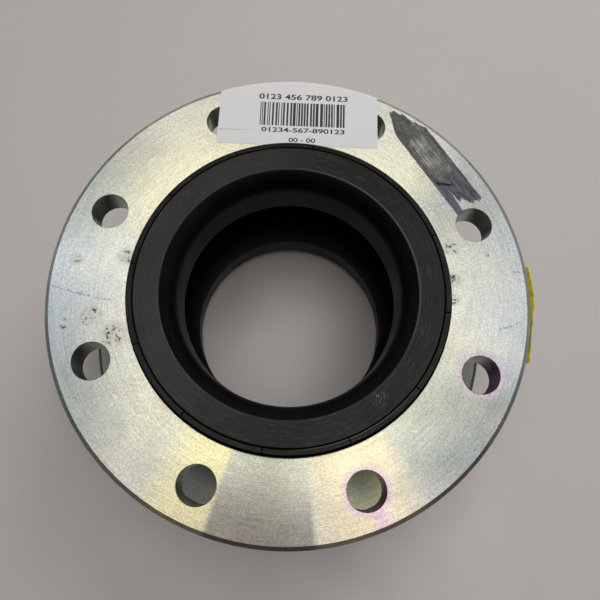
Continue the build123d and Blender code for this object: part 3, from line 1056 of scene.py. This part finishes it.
def tape_stand_off(angle, height_share):
    """How far the torn tape stands off the rim; its upper edge flares out like a lip."""
    for (a0, flare0), (a1, flare1) in zip(TAPE_FLARE, TAPE_FLARE[1:]):
        if a0 <= angle <= a1 + 0.001:
            flare = flare0 + (flare1 - flare0) * (angle - a0) / (a1 - a0)
    out = max(0.0, 1.0 - height_share / TAPE_FLARE_SHARE) ** TAPE_FLARE_POWER
    return (TAPE_GAP + (flare - TAPE_GAP) * out) * MM


def build_tape():
    """Remains of yellow tape on the rim of the upper flange."""
    pick = random.Random(7)
    first, last = TAPE_FLARE[0][0], TAPE_FLARE[-1][0]
    columns, rows = TAPE_GRID
    top, bottom = FACE_Z - TAPE_TOP, FACE_Z - TAPE_BOTTOM
    ragged = [pick.uniform(-0.5, 0.3) * MM for _ in range(columns + 1)]
    tail = [pick.uniform(-1.2, 1.2) * MM for _ in range(columns + 1)]
    points = []
    for side in (0, 1):
        noise = random.Random(11)
        for row in range(rows + 1):
            share = row / rows
            for column in range(columns + 1):
                angle = first + (last - first) * column / columns
                off = tape_stand_off(angle, share) + noise.uniform(-0.1, 0.1) * MM + TAPE_THICKNESS * side
                z = top + ragged[column] + (bottom + tail[column] - top - ragged[column]) * share
                reach = RIM_R + off
                turn = math.radians(angle)
                points.append((reach * math.cos(turn), reach * math.sin(turn), z))
    tape = make_object("yellow_tape", points, closed_sheet_faces(columns, rows, True), YELLOW, TAPE_SMOOTH)
    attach(tape, "upper_ring")


# Frame nodes ------------------------------------------------------------------------


def dress_nodes():
    """Gives each CAD node that no visual piece replaces its material."""
    looks = {
        "upper_flange": ZINC_UPPER,
        "lower_flange": ZINC_LOWER_SHADED,
        "upper_sealing_collar": COLLAR_UPPER,
        "lower_sealing_collar": COLLAR_LOWER,
        "upper_bead_wires": WIRE,
        "lower_bead_wires": WIRE,
        "upper_bead_filler": FILLER,
        "lower_bead_filler": FILLER,
    }
    for name, material in looks.items():
        mesh = NODES[name].data
        mesh.materials.clear()
        mesh.materials.append(material)


# Stage ------------------------------------------------------------------------------


def area_light(name, place, aim, size, power, colour):
    data = bpy.data.lights.new(name, "AREA")
    data.shape = "RECTANGLE"
    data.size, data.size_y = size
    data.energy = power
    data.color = colour
    lamp = bpy.data.objects.new(name, data)
    lamp.location = place
    lamp.rotation_euler = (Vector(aim) - Vector(place)).to_track_quat("-Z", "Y").to_euler()
    lamp.visible_glossy = False
    bpy.context.scene.collection.objects.link(lamp)


def build_world():
    """Studio light from all round: bright overhead, dim walls, a dark front and a dark spot."""
    graph = Graph("studio", world=True)
    way = graph.add("ShaderNodeTexCoord").outputs["Generated"]
    parts = graph.add("ShaderNodeSeparateXYZ", {0: way}).outputs
    x, y, z = parts[0], parts[1], parts[2]
    middle = Vector(DOME_WAY).normalized()
    facing = graph.add("ShaderNodeVectorMath", {0: way, 1: tuple(middle)}, operation="DOT_PRODUCT")
    toward = facing.outputs["Value"]
    dome = graph.step(toward, DOME_EDGE, DOME_FULL, WALL_LIGHT, DOME_LIGHT)
    dome = graph.plus(dome, graph.step(z, *LOW_WALL_TOP, LOW_WALL_LIGHT, 0.0))
    front = graph.step(graph.less(graph.times(y, -1.0), graph.times(z, 0.12)), *FRONT_EDGE)
    dome = graph.times(dome, graph.less(1.0, graph.times(front, FRONT_DARK)))
    dome = graph.times(dome, graph.step(x, -0.8, 0.6, SHADE_SIDE, 1.0))
    low_x, high_x, low_y, high_y = DARK_SPOT
    spot = graph.times(graph.window(x, low_x, high_x, 0.012), graph.window(y, low_y, high_y, 0.03))
    spot = graph.times(spot, graph.step(z, 0.2, 0.4))
    dome = graph.times(dome, graph.less(1.0, graph.times(spot, SPOT_DARK)))
    dome = graph.times(dome, graph.step(z, -0.02, 0.0, UNDER_LIGHT, 1.0))
    colour = graph.mix(graph.step(toward, 0.2, 1.0), COOL_WHITE, WARM_WHITE)
    light = graph.add("ShaderNodeBackground", {"Color": colour, "Strength": dome})
    graph.add("ShaderNodeOutputWorld", {"Surface": light.outputs[0]})
    bpy.context.scene.world = graph.material


def build_stage():
    """Pale floor, soft studio light and the camera."""
    half = FLOOR_HALF
    corners = [(-half, -half, 0), (half, -half, 0), (half, half, 0), (-half, half, 0)]
    floor = make_object("floor", corners, [(0, 1, 2, 3)], floor_material())
    build_world()
    middle = (0.0, 0.0, HEIGHT / 2)
    area_light("key", KEY_PLACE, middle, KEY_SIZE, KEY_POWER, WARM_WHITE)
    camera_data = bpy.data.cameras.new("camera")
    camera_data.lens = CAMERA_LENS
    camera_data.sensor_width = SENSOR
    camera_data.clip_start = 0.01
    camera = bpy.data.objects.new("camera", camera_data)
    place = Vector((*CAMERA_OFFSET, FACE_Z + CAMERA_HEIGHT))
    aim = Vector((*CAMERA_AIM, FACE_Z))
    turn = (aim - place).to_track_quat("-Z", "Y").to_matrix() @ Matrix.Rotation(-CAMERA_ROLL, 3, "Z")
    camera.matrix_world = Matrix.Translation(place) @ turn.to_4x4()
    bpy.context.scene.collection.objects.link(camera)
    bpy.context.scene.camera = camera
    bpy.context.scene.view_settings.view_transform = "Standard"


ZINC_UPPER = zinc("zinc_plate_upper", True, 0.0, UPPER_FIRST_HOLE)
ZINC_LOWER_SHADED = zinc("zinc_plate_lower", False, 3.7, LOWER_FIRST_HOLE)
COLLAR_UPPER = rubber("collar_rubber_upper", RUBBER_BLACK, 0.42, 0.50, 0.32, True, True)
COLLAR_LOWER = rubber("collar_rubber_lower", RUBBER_BLACK, 0.42, 0.50, 0.32)
COVER_RUBBER = rubber("cover_rubber", RUBBER_BLACK, 0.42, 0.52, 0.25, False)
TUBE_RUBBER = rubber("tube_rubber_skin", (0.0030, 0.0030, 0.0032), 0.36, 0.46, 0.10, False)
FILLER = rubber("filler_rubber", (0.012, 0.012, 0.012), 0.6, 0.7, 0.1)
CORD_FABRIC = cord_fabric()
WIRE = wire_metal()
PAPER = paper()
PRINT = print_ink()
YELLOW = yellow()

dress_nodes()
build_bellows()
build_label()
build_tape()
build_stage()
